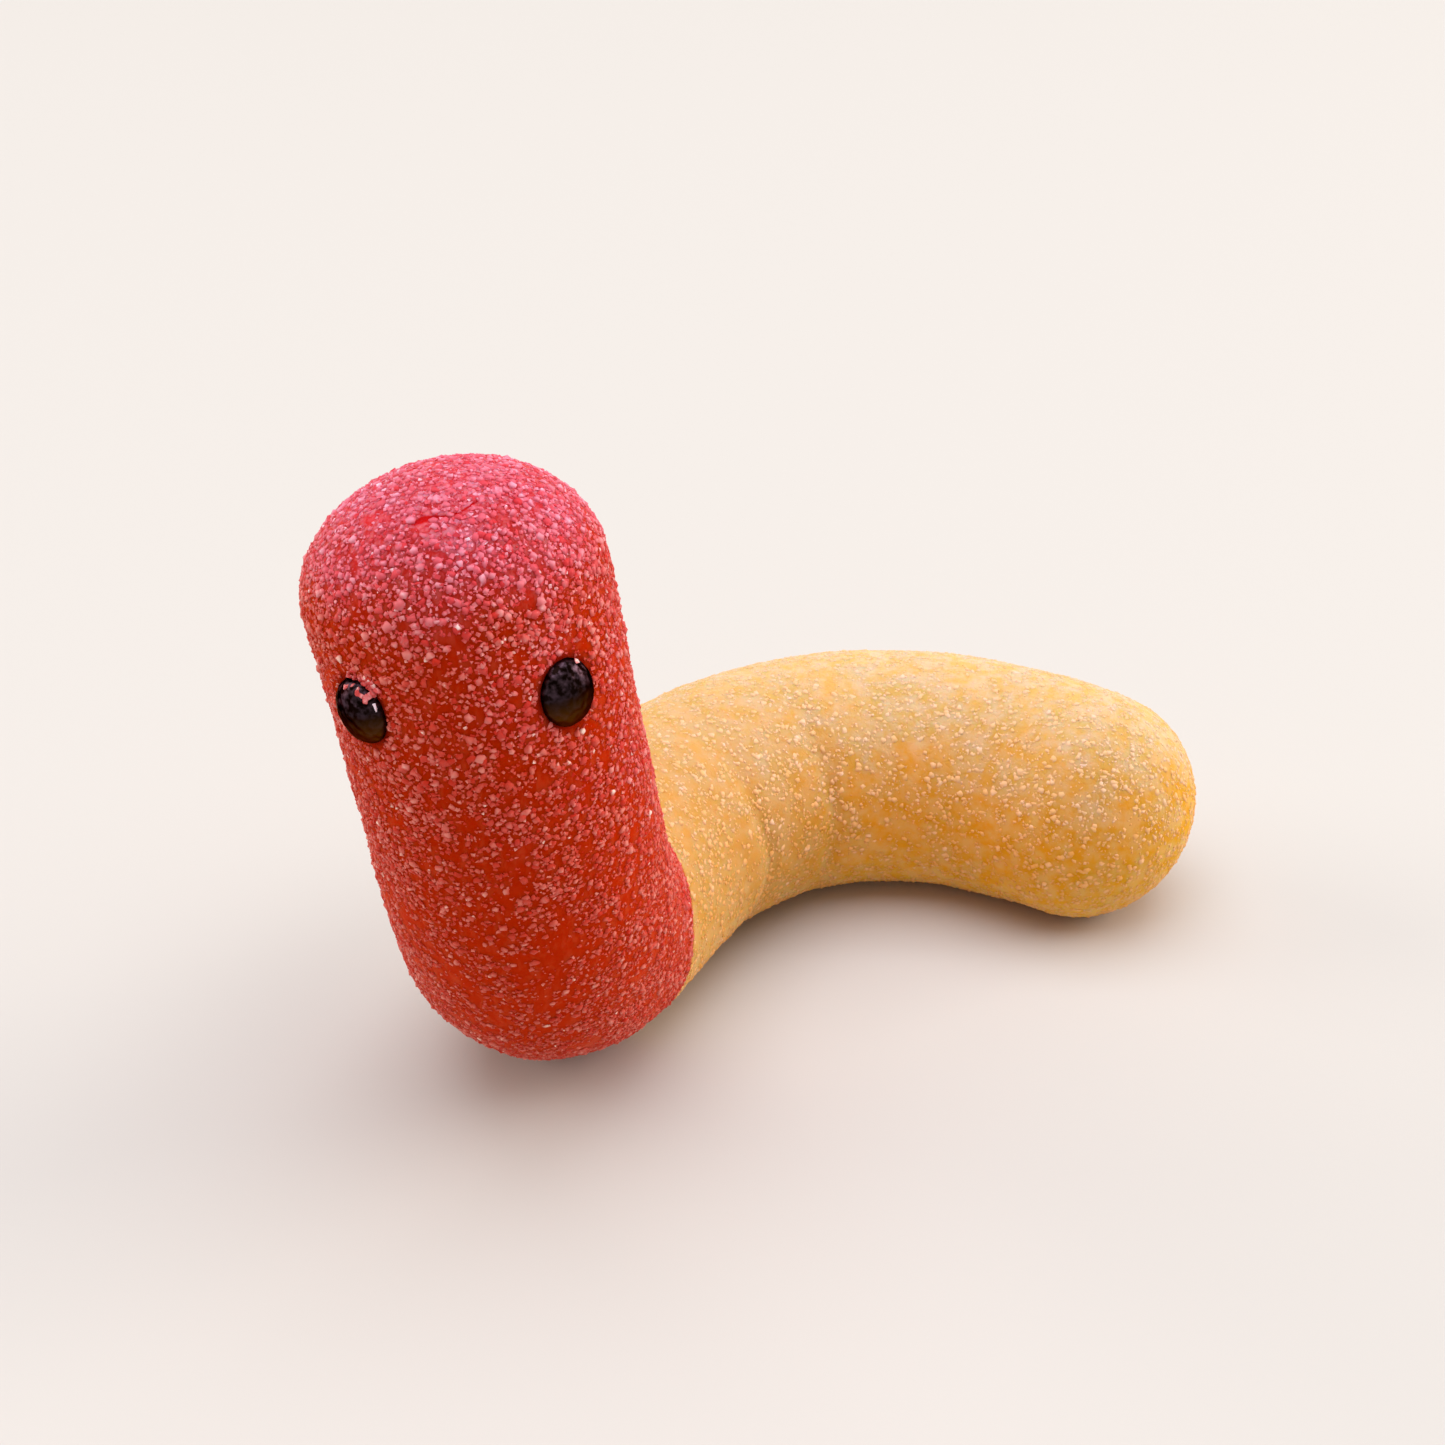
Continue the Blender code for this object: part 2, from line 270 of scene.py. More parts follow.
def eye_distance(places):
    """How far out from the nearest bead each place is: 1 is at the bead's own edge.

    It is the length of the place's two parts across the bead, each over the half size
    that way. What is far in front of or behind a bead counts as infinitely far.
    """
    nearest = np.full(places.shape[:-1], np.inf)
    for seat, axes in SEATS.values():
        local = np.tensordot(places - seat, axes.T, axes=1) / EYE_HALF_SIZE
        flat = np.hypot(local[..., 0], local[..., 1])
        beside = np.abs(local[..., 2]) < SAME_SIDE
        nearest = np.minimum(nearest, np.where(beside, flat, np.inf))
    return nearest


left_seat, left_axes = SEATS["eye_left"]
print("2 mm up from a bead's middle:", eye_distance(left_seat + 0.002 * left_axes[1]).round(2))

# %% [markdown]
# The jelly's skin is a surface of the same two numbers, along and round. On the real
# candy it isn't a perfect tube. It swells a little here and there, it creases where the
# curl squeezes it and bulges inside the elbow, it gives way round each bead, the head's
# top has a short crack, and the surface it lies on has pressed its belly flat. Each of
# those is a height added to the radius, so they simply add up. A sculpted mesh could
# look the same, but the sugar has to know where the skin is, and a formula can be asked.

# %% The crack in the head's top
CRACK_DEPTH = 0.00010
CRACK_FROM_TIP = 0.00156
CRACK_SLANT = 0.0003
CRACK_WANDER = 0.00012
CRACK_WANDER_SIZE = 0.0018
CRACK_HALF = 0.00005
CRACK_ANGLES = (math.radians(-7.0), math.radians(44.0))
CRACK_FADE = 0.15
PIT_WIDENING = 1.6
PIT_ANGLE = math.radians(3.0)
PIT_HALF = math.radians(4.0)


def crack(along, angle, places):
    """1 along the middle of the crack, and 0 away from it.

    A bell curve across a slanting, wandering line, wider at its pit, times a soft step
    at each end.
    """
    low, high = CRACK_ANGLES
    turned = turned_from(0.0, angle)
    pit = PIT_WIDENING * np.exp(-(((turned - PIT_ANGLE) / PIT_HALF) ** 2))
    wander = CRACK_WANDER * waves(places, CRACK_WANDER_SIZE, seed=6)
    line = LENGTH - CRACK_FROM_TIP + CRACK_SLANT * turned + wander
    off = (along - line) / (CRACK_HALF * (1 + pit))
    ends = smooth((turned - low) / CRACK_FADE) * smooth((high - turned) / CRACK_FADE)
    return np.exp(-(off**2)) * ends


crack_radius = float(radius(LENGTH - CRACK_FROM_TIP))
print("crack in mm:", round((CRACK_ANGLES[1] - CRACK_ANGLES[0]) * crack_radius * 1000, 1), "long")

# %% The bulge inside the elbow
SQUEEZE = 0.00070
SQUEEZE_AT = 0.0525
SQUEEZE_HALF = 0.0055
SQUEEZE_ANGLE = math.radians(100.0)
SQUEEZE_SPREAD = math.radians(35.0)


def squeeze(along, angle):
    """How far the jelly bulges where the bend presses it: a bell curve both ways."""
    turned = turned_from(SQUEEZE_ANGLE, angle)
    reach = ((along - SQUEEZE_AT) / SQUEEZE_HALF) ** 2 + (turned / SQUEEZE_SPREAD) ** 2
    return SQUEEZE * np.exp(-reach)


print("bulge in mm:", SQUEEZE * 1000)

# %% Swellings, creases and dents
SWELL = 0.00006
SWELL_SIZE = 0.0060
PIMPLE = 0.000022
PIMPLE_SIZE = 0.0012
# Each crease's distance along the worm, its depth and its half width.
CREASES = ((0.0270, 0.00032, 0.0013), (0.0357, 0.00028, 0.0012))
CREASE_FRONT = math.radians(10.0)
CREASE_WANDER = 0.0004
CREASE_WANDER_SIZE = 0.004
DENT = 0.00012
DENT_REACH = 0.45


def relief(along, angle, places):
    """Height of the skin over the plain tube: swellings less creases, crack and dents.

    A crease is a bell curve along the worm, times the squared cosine of the angle from
    its deepest side. A dent is a soft step outwards from the bead's edge.
    """
    height = SWELL * waves(places, SWELL_SIZE, seed=3)
    height = height + PIMPLE * waves(places, PIMPLE_SIZE, seed=4)
    height = height + squeeze(along, angle) - CRACK_DEPTH * crack(along, angle, places)
    wander = CREASE_WANDER * waves(places, CREASE_WANDER_SIZE, seed=5)
    for where, depth, half_width in CREASES:
        across = np.exp(-(((along - where + wander) / half_width) ** 2))
        height -= depth * across * np.clip(np.cos(angle - CREASE_FRONT), 0, 1) ** 2
    rim = np.clip((eye_distance(places) - 1) / DENT_REACH, 0, 1)
    return height - DENT * (1 - smooth(rim))


print("creases at mm:", [round(where * 1000, 1) for where, _, _ in CREASES])

# %% The skin
BELLY = 0.00010


def tube(along, angle):
    """The plain tube: the middle line's point plus the radius times outward."""
    out = outward(along, angle)
    return at(along, POINTS) + radius(along)[..., None] * out, out


def skin(along, angle):
    """Places on the finished jelly, and the directions out of it.

    The relief is added to the plain tube along outward, and what would go under the
    belly's flat is lifted to it.
    """
    plain, out = tube(along, angle)
    places = plain + relief(along, angle, plain)[..., None] * out
    places[..., 2] = np.maximum(places[..., 2], BELLY)
    return places, out


side_place, _ = skin(np.array([LYING / 2]), np.array([math.pi / 2]))
print("a place halfway along the lying half, in mm:", (side_place * 1000).round(1))

# %% [markdown]
# The jelly and the beads are both closed skins, and both are stacks of rings. Blender's
# own tools could bridge rings into a surface, but on a grid the faces follow from
# counting: each one joins two neighbours on a ring with the two behind them, and a fan
# of triangles closes each end. A mesh can also store a number for each of its points,
# which its material reads later.


# %% A closed mesh from a grid of rings
def put_mesh(name, places, faces):
    """An object at the origin with these places and faces."""
    mesh = bpy.data.meshes.new(name)
    mesh.from_pydata(places, [], faces)
    mesh.update()
    made = bpy.data.objects.new(name, mesh)
    bpy.context.scene.collection.objects.link(made)
    return made


def put_rings(name, rings, start, end):
    """A closed skin: rings (n, m, 3) joined by quads, with a fan at each end's point.

    Point number row times m plus column is the ring's point, and the two ends are last.
    """
    n, m = rings.shape[:2]
    places = np.vstack([rings.reshape(-1, 3), start, end])
    row, column = np.meshgrid(np.arange(n - 1), np.arange(m), indexing="ij")
    beside = (column + 1) % m
    quads = np.stack(
        [row * m + column, row * m + beside, (row + 1) * m + beside, (row + 1) * m + column],
        axis=-1,
    ).reshape(-1, 4)
    turn = np.arange(m)
    after = (turn + 1) % m
    first = np.stack([after, turn, np.full(m, n * m)], axis=-1)
    last = (n - 1) * m
    second = np.stack([last + turn, last + after, np.full(m, n * m + 1)], axis=-1)
    faces = quads.tolist() + first.tolist() + second.tolist()
    return put_mesh(name, places, faces)


def give(obj, name, values):
    """Stores one number for each point of the mesh, for its material to read."""
    attribute = obj.data.attributes.new(name, "FLOAT", "POINT")
    attribute.data.foreach_set("value", np.asarray(values, np.float32).ravel())


print("meshes in the file so far:", len(bpy.data.meshes))

# %% [markdown]
# The red jelly was poured against the yellow, so their edge is narrow but wanders. Fine
# sugar has settled on what faces up, as snow does on a fence. The same number paints
# light: what faces up is paler and cooler, as if lit from above, and what faces down is
# deeper and warmer, as if lit from below. Round the elbow it is lowered, so less film and
# less painted top light show there. Both could be painted by hand; worked out from the
# place and its facing, they also hold on the sides that the camera doesn't see.

# %% Where the red starts, where fine sugar settles, and where light is painted
RED_STARTS = 0.0470
EDGE_WANDER = 0.0005
EDGE_WANDER_SIZE = 0.005
EDGE_BLEND = 0.0007
# The settled sugar's number also paints light: paler and cooler facing up, deeper and warmer facing
# down.
FROST_AND_LIGHT_LOW = -0.50
FROST_AND_LIGHT_SPAN = 1.50
FROST_AND_LIGHT_WANDER = 0.16
FROST_AND_LIGHT_WANDER_SIZE = 0.004
FROST_AND_LIGHT_LESS_AT_ELBOW = 0.5
FROST_AND_LIGHT_CURVE = 1.8


def redness(along, places):
    """1 in the red jelly, 0 in the yellow, and a soft step over a wandering edge."""
    edge = RED_STARTS + EDGE_WANDER * waves(places, EDGE_WANDER_SIZE, seed=11)
    return smooth((along - edge) / EDGE_BLEND + 0.5)


def frost(along, places, out):
    """How thickly fine sugar lies, and how much light from above is painted: 1 on what
    faces up, 0 on what faces down, where the colours stand for warm light from below.

    It is a soft step of the upward part of the facing, raised to a power, times 1 less
    a bell curve round the elbow.
    """
    faces_up = out[..., 2] + FROST_AND_LIGHT_WANDER * waves(places, FROST_AND_LIGHT_WANDER_SIZE, seed=12)
    less_at_elbow = FROST_AND_LIGHT_LESS_AT_ELBOW * np.exp(-(((along - LYING - BEND / 2) / BEND) ** 2))
    return smooth((faces_up - FROST_AND_LIGHT_LOW) / FROST_AND_LIGHT_SPAN) ** FROST_AND_LIGHT_CURVE * (1 - less_at_elbow)


print("red from mm:", RED_STARTS * 1000, "of", round(LENGTH * 1000, 1))

# %% Rings of the jelly
RINGS = 430
SIDES = 210
# From and to this distance from the head's tip, and how many rings more are there.
CRACK_RINGS = (0.0009, 0.0021, 30)
SKIN_STEPS = 20000


def ring_distances(count):
    """Distances spaced evenly over the skin, so that the domes get their share.

    The way over the skin is the sum of steps, each the root of the squares of its
    length along the worm and its change of radius. The crack has rings of its own.
    """
    fine = np.linspace(0.0, LENGTH, SKIN_STEPS)
    steps = np.hypot(np.diff(fine), np.diff(radius(fine)))
    travelled = np.concatenate([[0.0], np.cumsum(steps)])
    wanted = np.linspace(0.0, travelled[-1], count + 2)[1:-1]
    near_crack = LENGTH - np.linspace(*CRACK_RINGS)
    return np.union1d(np.interp(wanted, travelled, fine), near_crack)


round_angles = np.linspace(0, math.tau, SIDES, endpoint=False)
grid_along, grid_angle = np.meshgrid(ring_distances(RINGS), round_angles, indexing="ij")
grid_places, grid_out = skin(grid_along, grid_angle)
print("rings and sides:", grid_along.shape)

# %% [markdown]
# The jelly's mesh is smooth, and its colours will come from its material. What the
# material can't know by itself is stored in the mesh: where it is red, where sugar has
# settled and light from above is painted, where the crack is, how near a bead's rim is for
# the painted shade there, and how far along the yellow half a painted shade deepens
# towards the bend.

# %% The jelly
FILM_CURVE = 2.1
RIM_REACH = 0.16
RIM_FAR = 9.0
# The yellow is painted darker from here towards the bend, as shade from the head.
HEAD_SHADE_FROM = 0.019
HEAD_SHADE_SPAN = 0.019
AT_TIP = 1e-6

tips, _ = skin(np.array([AT_TIP, LENGTH - AT_TIP]), np.zeros(2))
jelly = put_rings("jelly", grid_places, tips[0], tips[1])
jelly.data.shade_smooth()

grid_frost = frost(grid_along, grid_places, dome_out(grid_along, grid_out)) ** FILM_CURVE
from_rim = np.clip(eye_distance(grid_places) - 1, 0, RIM_FAR) / RIM_REACH
# Each stored number: its values on the rings, and on the tail's and the head's tip.
jelly_stores = {
    "red": (redness(grid_along, grid_places), [0.0, 1.0]),
    # Thick sugar, and the painted light from above and below.
    "frost": (grid_frost, [grid_frost[0, 0], 1.0]),
    "crack": (crack(grid_along, grid_angle, grid_places), [0.0, 0.0]),
    # How near a bead's rim, for the painted shade there.
    "rim": (np.exp(-(from_rim**2)), [0.0, 0.0]),
    # Painted shade on the yellow towards the bend.
    "bend": (smooth((grid_along - HEAD_SHADE_FROM) / HEAD_SHADE_SPAN), [0.0, 0.0]),
}
for name, (on_rings, on_tips) in jelly_stores.items():
    give(jelly, name, np.append(on_rings, on_tips))
print("jelly:", len(jelly.data.polygons), "faces, storing", list(jelly_stores))

# %% [markdown]
# Sugar crystals are small blocks with worn corners. They could be one cube repeated, but
# the eye finds that out at once, so there are three shapes. The coarse lumps are cubes
# with every corner cut to the middle of its edges, 12 points and 20 triangles. The grains
# are plain blocks of 12 triangles. For the chips and the dust, an eight-sided double
# pyramid will do. Every crystal gets its own size, stretch, turn and slightly moved
# corners, so no two are alike.

# %% Crystal shapes
CUT_BLOCK = np.array(
    [(x, y, 0) for x in (-1, 1) for y in (-1, 1)]
    + [(x, 0, z) for x in (-1, 1) for z in (-1, 1)]
    + [(0, y, z) for y in (-1, 1) for z in (-1, 1)],
    float,
)
BLOCK = np.array([(x, y, z) for x in (-1, 1) for y in (-1, 1) for z in (-1, 1)], float)
DOUBLE_PYRAMID = np.array(
    [(1, 0, 0), (-1, 0, 0), (0, 1, 0), (0, -1, 0), (0, 0, 1), (0, 0, -1)], float
)


def hull_faces(points):
    """Triangles of the hull of a few points, as Blender's own hull tool gives them."""
    shape = bmesh.new()
    for point in points:
        shape.verts.new(point)
    shape.verts.index_update()
    bmesh.ops.convex_hull(shape, input=shape.verts)
    bmesh.ops.triangulate(shape, faces=shape.faces)
    bmesh.ops.recalc_face_normals(shape, faces=shape.faces)
    faces = np.array([[vert.index for vert in face.verts] for face in shape.faces])
    shape.free()
    return faces


shapes = (CUT_BLOCK, BLOCK, DOUBLE_PYRAMID)
print("triangles of the shapes:", [len(hull_faces(shape)) for shape in shapes])


# %% Random turns
def turns(random, count):
    """Random rotations: the matrices of random quaternions of length one."""
    w, x, y, z = unit(random.normal(size=(count, 4))).T
    return np.stack(
        [
            np.stack([1 - 2 * (y * y + z * z), 2 * (x * y - z * w), 2 * (x * z + y * w)], -1),
            np.stack([2 * (x * y + z * w), 1 - 2 * (x * x + z * z), 2 * (y * z - x * w)], -1),
            np.stack([2 * (x * z - y * w), 2 * (y * z + x * w), 1 - 2 * (x * x + y * y)], -1),
        ],
        axis=1,
    )


print("a random turn:", turns(np.random.default_rng(1), 1)[0].round(2).tolist())

# %% [markdown]
# Thousands of crystals could be instances of one object, but then all would be alike,
# and the exported model would need them joined. They are one mesh from the start: a
# whole array of corners, stretched, turned and moved at once. On the red half they stand
# a little proud. On the yellow half they have sunk deeper and their edges are rounded.

# %% Many crystals in one mesh
CRYSTAL_STRETCH = (0.55, 1.2)
CRYSTAL_JITTER = 0.22
# How far under the skin a middle lies, and how much height is lost, as shares of the size.
CRYSTAL_SUNK = {"red": 0.10, "yellow": 0.14}
CRYSTAL_FLAT = {"red": 0.25, "yellow": 0.38}
LOWEST_CORNER = BELLY / 10
TONE_UNEVEN = (0.60, 1.25)
TONE_FALL = 1.5


def crystals(name, shape, seats, out, sizes, tones, frosts, ways=None, rounded=False):
    """One mesh of many crystals: each is the shape, stretched, turned and put at its seat.

    It is flattened a little towards the skin, and its middle lies under it. Its tone is
    palest at the corners that stand highest, since there the light comes out of clear
    sugar and not out of the jelly: the crystal's tone times 1 less the fall times how
    far below the top a corner is.
    """
    random = np.random.default_rng(len(seats))
    count = len(seats)
    dyed = name.rsplit("_", 1)[1]
    corners = shape[None] * random.uniform(*CRYSTAL_STRETCH, (count, 1, 3))
    corners = corners + random.uniform(-CRYSTAL_JITTER, CRYSTAL_JITTER, corners.shape)
    ways = turns(random, count) if ways is None else ways
    corners = np.einsum("nij,nkj->nki", ways, corners)
    corners = corners / np.linalg.norm(corners, axis=2).max(axis=1)[:, None, None]
    corners = corners * (sizes / 2)[:, None, None]
    rise = np.einsum("nki,ni->nk", corners, out)
    corners = corners - CRYSTAL_FLAT[dyed] * rise[..., None] * out[:, None, :]
    middles = seats - out * (CRYSTAL_SUNK[dyed] * sizes)[:, None]
    places = corners + middles[:, None, :]
    places[..., 2] = np.maximum(places[..., 2], LOWEST_CORNER)
    height = np.einsum("nki,ni->nk", corners, out) / (sizes / 2)[:, None]
    steps = np.arange(count)[:, None, None] * len(shape)
    faces = (hull_faces(shape)[None] + steps).reshape(-1, 3)
    made = put_mesh(name, places.reshape(-1, 3), faces)
    if rounded:
        made.data.shade_smooth()
    tones = tones[:, None] * random.uniform(*TONE_UNEVEN, height.shape)
    give(made, "tone", tones * np.clip(1 - TONE_FALL * (1 - height) / 2, 0, 1))
    give(made, "frost", np.repeat(frosts, len(shape)))
    print(name, count, "crystals,", len(made.data.polygons), "triangles")
    return made


# %% [markdown]
# The coating isn't even. The sugar was tumbled on: it is thick on the head's top and
# in clumps, thin low on the front where the jelly shows, and it stops short of the
# beads. On the head's top damp sugar has run to a few glazed spots, and the coating is
# cracked. To seat crystals evenly without a slow search, many random places are thrown
# on the skin, space is cut into small cubes, and the first place in each cube is kept.
# A random pattern then thins them into clumps.

# %% Places thrown on the skin
THROWS = 450_000


def throw(random, count):
    """Random distances and angles, spread evenly over the skin.

    A distance is drawn by area: each step's share is its radius times its slanted length.
    """
    area = np.cumsum(radius(FINE_ALONG) * np.hypot(1.0, FINE_SLOPE))
    along = np.interp(random.uniform(0, area[-1], count), area, FINE_ALONG)
    return along, random.uniform(0, math.tau, count)


def one_per_cell(places, cell):
    """Which places to keep so that no little cube of space holds two.

    A cube's number is made of its three whole coordinates, and the first place with
    each number stays.
    """
    cells = np.floor(places / cell).astype(np.int64)
    cells -= cells.min(axis=0)
    spans = cells.max(axis=0) + 1
    key = (cells[:, 0] * spans[1] + cells[:, 1]) * spans[2] + cells[:, 2]
    return np.unique(key, return_index=True)[1]


print("places thrown for each kind of sugar:", THROWS)

# %% How thick the coating is
COAT = 0.98
END_COAT = 0.40
HEAD_COAT_LENGTH = 0.012
TAIL_COAT_LENGTH = 0.007
TAIL_COAT_SHARE = 0.5
THIN_FRONT = 0.68
THIN_FRONT_AT = 0.0600
THIN_FRONT_HALF = 0.0082
THIN_FRONT_EVEN = 0.45
CLUMP_SIZE = 0.0012
PATCH_SIZE = 0.0040
PATCH_SHARE = 0.6
# Each glazed spot: its distance from the tip, degrees round, half length, half degrees.
GLAZES = (
    (0.00190, 8.0, 0.00028, 13.0),
    (0.00115, -24.0, 0.00018, 14.0),
    (0.00200, 44.0, 0.00040, 8.0),
)


def thickness(along, places, out, clumping):
    """The share of seats that get a crystal: more at both ends, less down the front.

    The full coat plus soft steps at the ends, less a bell curve low on the front, plus
    clumps, which are weaker there.
    """
    head = smooth((along - LENGTH + HEAD_COAT_LENGTH) / HEAD_COAT_LENGTH)
    tail = smooth((TAIL_COAT_LENGTH - along) / TAIL_COAT_LENGTH)
    ends = head + TAIL_COAT_SHARE * tail
    faces_front = np.clip(-out[:, 1], 0, 1) ** 2
    front = np.exp(-(((along - THIN_FRONT_AT) / THIN_FRONT_HALF) ** 2)) * faces_front
    clumps = waves(places, CLUMP_SIZE, seed=21) + PATCH_SHARE * waves(places, PATCH_SIZE, seed=22)
    clumping = clumping * (1 - THIN_FRONT_EVEN * front)
    return COAT + END_COAT * ends - THIN_FRONT * front + clumping * clumps


def glazed(along, angle):
    """1 where damp sugar has run to a smooth glaze, and 0 elsewhere: bell curves."""
    turned = turned_from(0.0, angle)
    share = np.zeros_like(along)
    for from_tip, degrees, half_length, half_degrees in GLAZES:
        off = (along - LENGTH + from_tip) / half_length
        beside = (turned - math.radians(degrees)) / math.radians(half_degrees)
        share = np.maximum(share, np.exp(-(off**2) - beside**2))
    return share


print("glazed spots:", len(GLAZES))

# %% Seats for the sugar
BARE_RING = 1.13
BARE_RING_WANDER = 0.16
BARE_RING_WANDER_SIZE = 0.0008
GLAZE_CLEARS = 0.55


def seats_for(cell, seed, share, clumping):
    """Seats on the skin: distances along the worm, places, directions out, and the dice.

    A seat is kept where a random number is under the coating's thickness times the
    share, less the crack and the glaze, and only outside the bare ring round a bead.
    The dice are given back for the draws that follow.
    """
    random = np.random.default_rng(seed)
    along, angle = throw(random, THROWS)
    kept = one_per_cell(tube(along, angle)[0], cell)
    along = along[kept]
    angle = angle[kept]
    places, out = skin(along, angle)
    out = dome_out(along, out)
    coated = thickness(along, places, out, clumping) * share
    coated -= crack(along, angle, places) + GLAZE_CLEARS * glazed(along, angle)
    wanted = random.uniform(0, 1, len(along)) < coated
    ring_wander = BARE_RING_WANDER * waves(places, BARE_RING_WANDER_SIZE, seed=23)
    wanted &= eye_distance(places) > BARE_RING + ring_wander
    return along[wanted], places[wanted], out[wanted], random


print("bare ring round a bead, in half sizes:", BARE_RING)

# %% [markdown]
# The coating has four kinds of sugar: coarse lumps, grains, sharp chips and dust. One
# size for all would look like sandpaper. Each kind has its own spacing, share and
# clumping, and each is thrown on its own, so the small ones lie between the coarse ones
# and against them. The yellow half has fewer of the small ones. Every kind and colour of
# jelly is one piece, which has one material and stays small enough to export whole.

# %% The four kinds of sugar
# A kind's cell is the cube that holds one seat, and its share the part of seats filled.
# On yellow, only that part of them stays. Painted glints are the part painted near white.
KINDS = {
    "lump": {
        "shape": CUT_BLOCK,
        "seats": {"cell": 0.00058, "seed": 31, "share": 0.74, "clumping": 0.72},
        "size_range": (0.00038, 0.00080),
        "on_yellow": 1.0,
        "sparks": 0.008,
    },
    "grain": {
        "shape": BLOCK,
        "seats": {"cell": 0.00034, "seed": 32, "share": 0.80, "clumping": 0.84},
        "size_range": (0.00026, 0.00046),
        "on_yellow": 0.62,
        "sparks": 0.02,
    },
    "chip": {
        "shape": DOUBLE_PYRAMID,
        "seats": {"cell": 0.00036, "seed": 34, "share": 0.72, "clumping": 0.60},
        "size_range": (0.00026, 0.00044),
        "on_yellow": 0.40,
        "sparks": 0.02,
    },
    "dust": {
        "shape": DOUBLE_PYRAMID,
        "seats": {"cell": 0.00032, "seed": 33, "share": 0.42, "clumping": 0.42},
        "size_range": (0.00014, 0.00026),
        "on_yellow": 0.30,
        "sparks": 0.02,
    },
}
print("kinds of sugar:", list(KINDS))

# %% Coat the jelly
# The two powers of the beta curves that sizes and tones are drawn from.
SIZE_CURVE = (1.6, 2.6)
TONE_CURVE = (1.5, 1.0)
# The tone that paints a crystal near white, as a glint.
PAINTED_GLINT_TONE = 1.4
YELLOW_LUMP_TONE = 0.35


def at_least(least, pattern):
    """A pattern from 0 to 1 squeezed to start at the least: least plus the rest times it."""
    return least + (1 - least) * pattern


def coat(kind, shape, seats, size_range, on_yellow, sparks):
    """One kind of sugar as two pieces, by their names: on the red jelly and on the yellow.

    A size is the small one plus a beta curve's draw times the range, and a tone is the
    draw of another. A few crystals get a near-white tone instead, as painted glints.
    """
    along, places, out, random = seats_for(**seats)
    count = len(along)
    small, large = size_range
    sizes = small + (large - small) * random.beta(*SIZE_CURVE, count)
    tones = random.beta(*TONE_CURVE, count)
    # Painted glints: a few crystals get a tone that turns them near white.
    tones[random.uniform(size=count) < sparks] = PAINTED_GLINT_TONE
    frosts = frost(along, places, out)
    on_red = redness(along, places) > 0.5
    stays = random.uniform(size=count) < on_yellow
    made = {}
    for dyed, these in (("red", on_red), ("yellow", ~on_red & stays)):
        name = f"sugar_{kind}_{dyed}"
        tone = tones[these]
        rounded = kind == "lump" or dyed == "yellow"
        if kind == "lump" and dyed == "yellow":
            tone = at_least(YELLOW_LUMP_TONE, tone)
        made[name] = crystals(
            name,
            shape,
            places[these],
            out[these],
            sizes[these],
            tone,
            frosts[these],
            rounded=rounded,
        )
    return made


sugar = {}
for kind, recipe in KINDS.items():
    sugar.update(coat(kind, **recipe))

# %% [markdown]
# The eyes are oval candy beads, hard and glossy. An ellipsoid is right for the form,
# but a perfect one gives one clean highlight, and the real beads break it up with a
# slightly uneven sugar shell. Waves of two hundredths of a millimetre do that.

# %% The beads
BEAD_RINGS = 90
BEAD_SIDES = 120
SHELL = 0.000022
SHELL_WAVE = 0.00042


def bead_shell(ball, seat, axes):
    """Points of a round ball times the half sizes, with the shell's waves, on the seat."""
    oval = ball * EYE_HALF_SIZE
    wave = SHELL * waves(oval, SHELL_WAVE, seed=41)[..., None]
    return (oval + ball * wave) @ axes + seat


def bead(name, seat, axes):
    """An ellipsoid on its seat's axes, from the sines and cosines of a rise and a turn.

    It stores how low each point is, from 0 at its top to 1 at its foot.
    """
    rise = np.linspace(0, math.pi, BEAD_RINGS + 2)[1:-1, None]
    turn = np.linspace(0, math.tau, BEAD_SIDES, endpoint=False)[None, :]
    across = np.sin(rise) * np.cos(turn)
    upwards = np.sin(rise) * np.sin(turn)
    outwards = np.cos(rise) + 0 * turn
    ball = np.stack([across, upwards, outwards], axis=-1)[:, ::-1]
    poles = np.array([[0, 0, 1.0], [0, 0, -1.0]])
    start, end = bead_shell(poles, seat, axes)
    made = put_rings(name, bead_shell(ball, seat, axes), start, end)
    made.data.shade_smooth()
    heights = np.append(ball[..., 1], poles[:, 1])
    give(made, "low", 0.5 - 0.5 * heights)
    return made


beads = {name: bead(f"bead_{name}", *SEATS[name]) for name in EYES}
print("faces of the beads:", [len(piece.data.polygons) for piece in beads.values()])

# %% [markdown]
# A few crystals stuck to the beads as well. The left bead has a drift of them over its
# upper inner edge, with one bright upright splinter just below it, and the right bead
# has one grain at its top. They are thrown the same way as the rest, inside an arc of
# the bead's edge.

# %% A drift of sugar on the beads
# Each row: the bead, how many, the degrees round it from its right, how far out from its
# middle, their sizes and their tones.
DRIFTS = (
    ("eye_left", 52, (36.0, 98.0), (0.84, 1.46), (0.00026, 0.00050), (0.60, 1.45)),
    ("eye_right", 1, (57.0, 57.0), (0.96, 0.96), (0.00044, 0.00044), (1.5, 1.5)),
)
DRIFT_SEED = 51
DRIFT_FROST_AND_LIGHT = 0.30


def bead_place(name, turn, reach):
    """A place on a bead's shell and the way out: turn from its right, reach from its middle.

    On a round ball its third part is the root of 1 minus the reach squared. The place
    has the half sizes as factors, and the way out has them as divisors.
    """
    seat, axes = SEATS[name]
    flat = reach[:, None] * np.stack([np.cos(turn), np.sin(turn)], axis=-1)
    ball = np.column_stack([flat, np.sqrt(np.clip(1 - reach**2, 0, 1))])
    return (ball * EYE_HALF_SIZE) @ axes + seat, unit((ball / EYE_HALF_SIZE) @ axes)


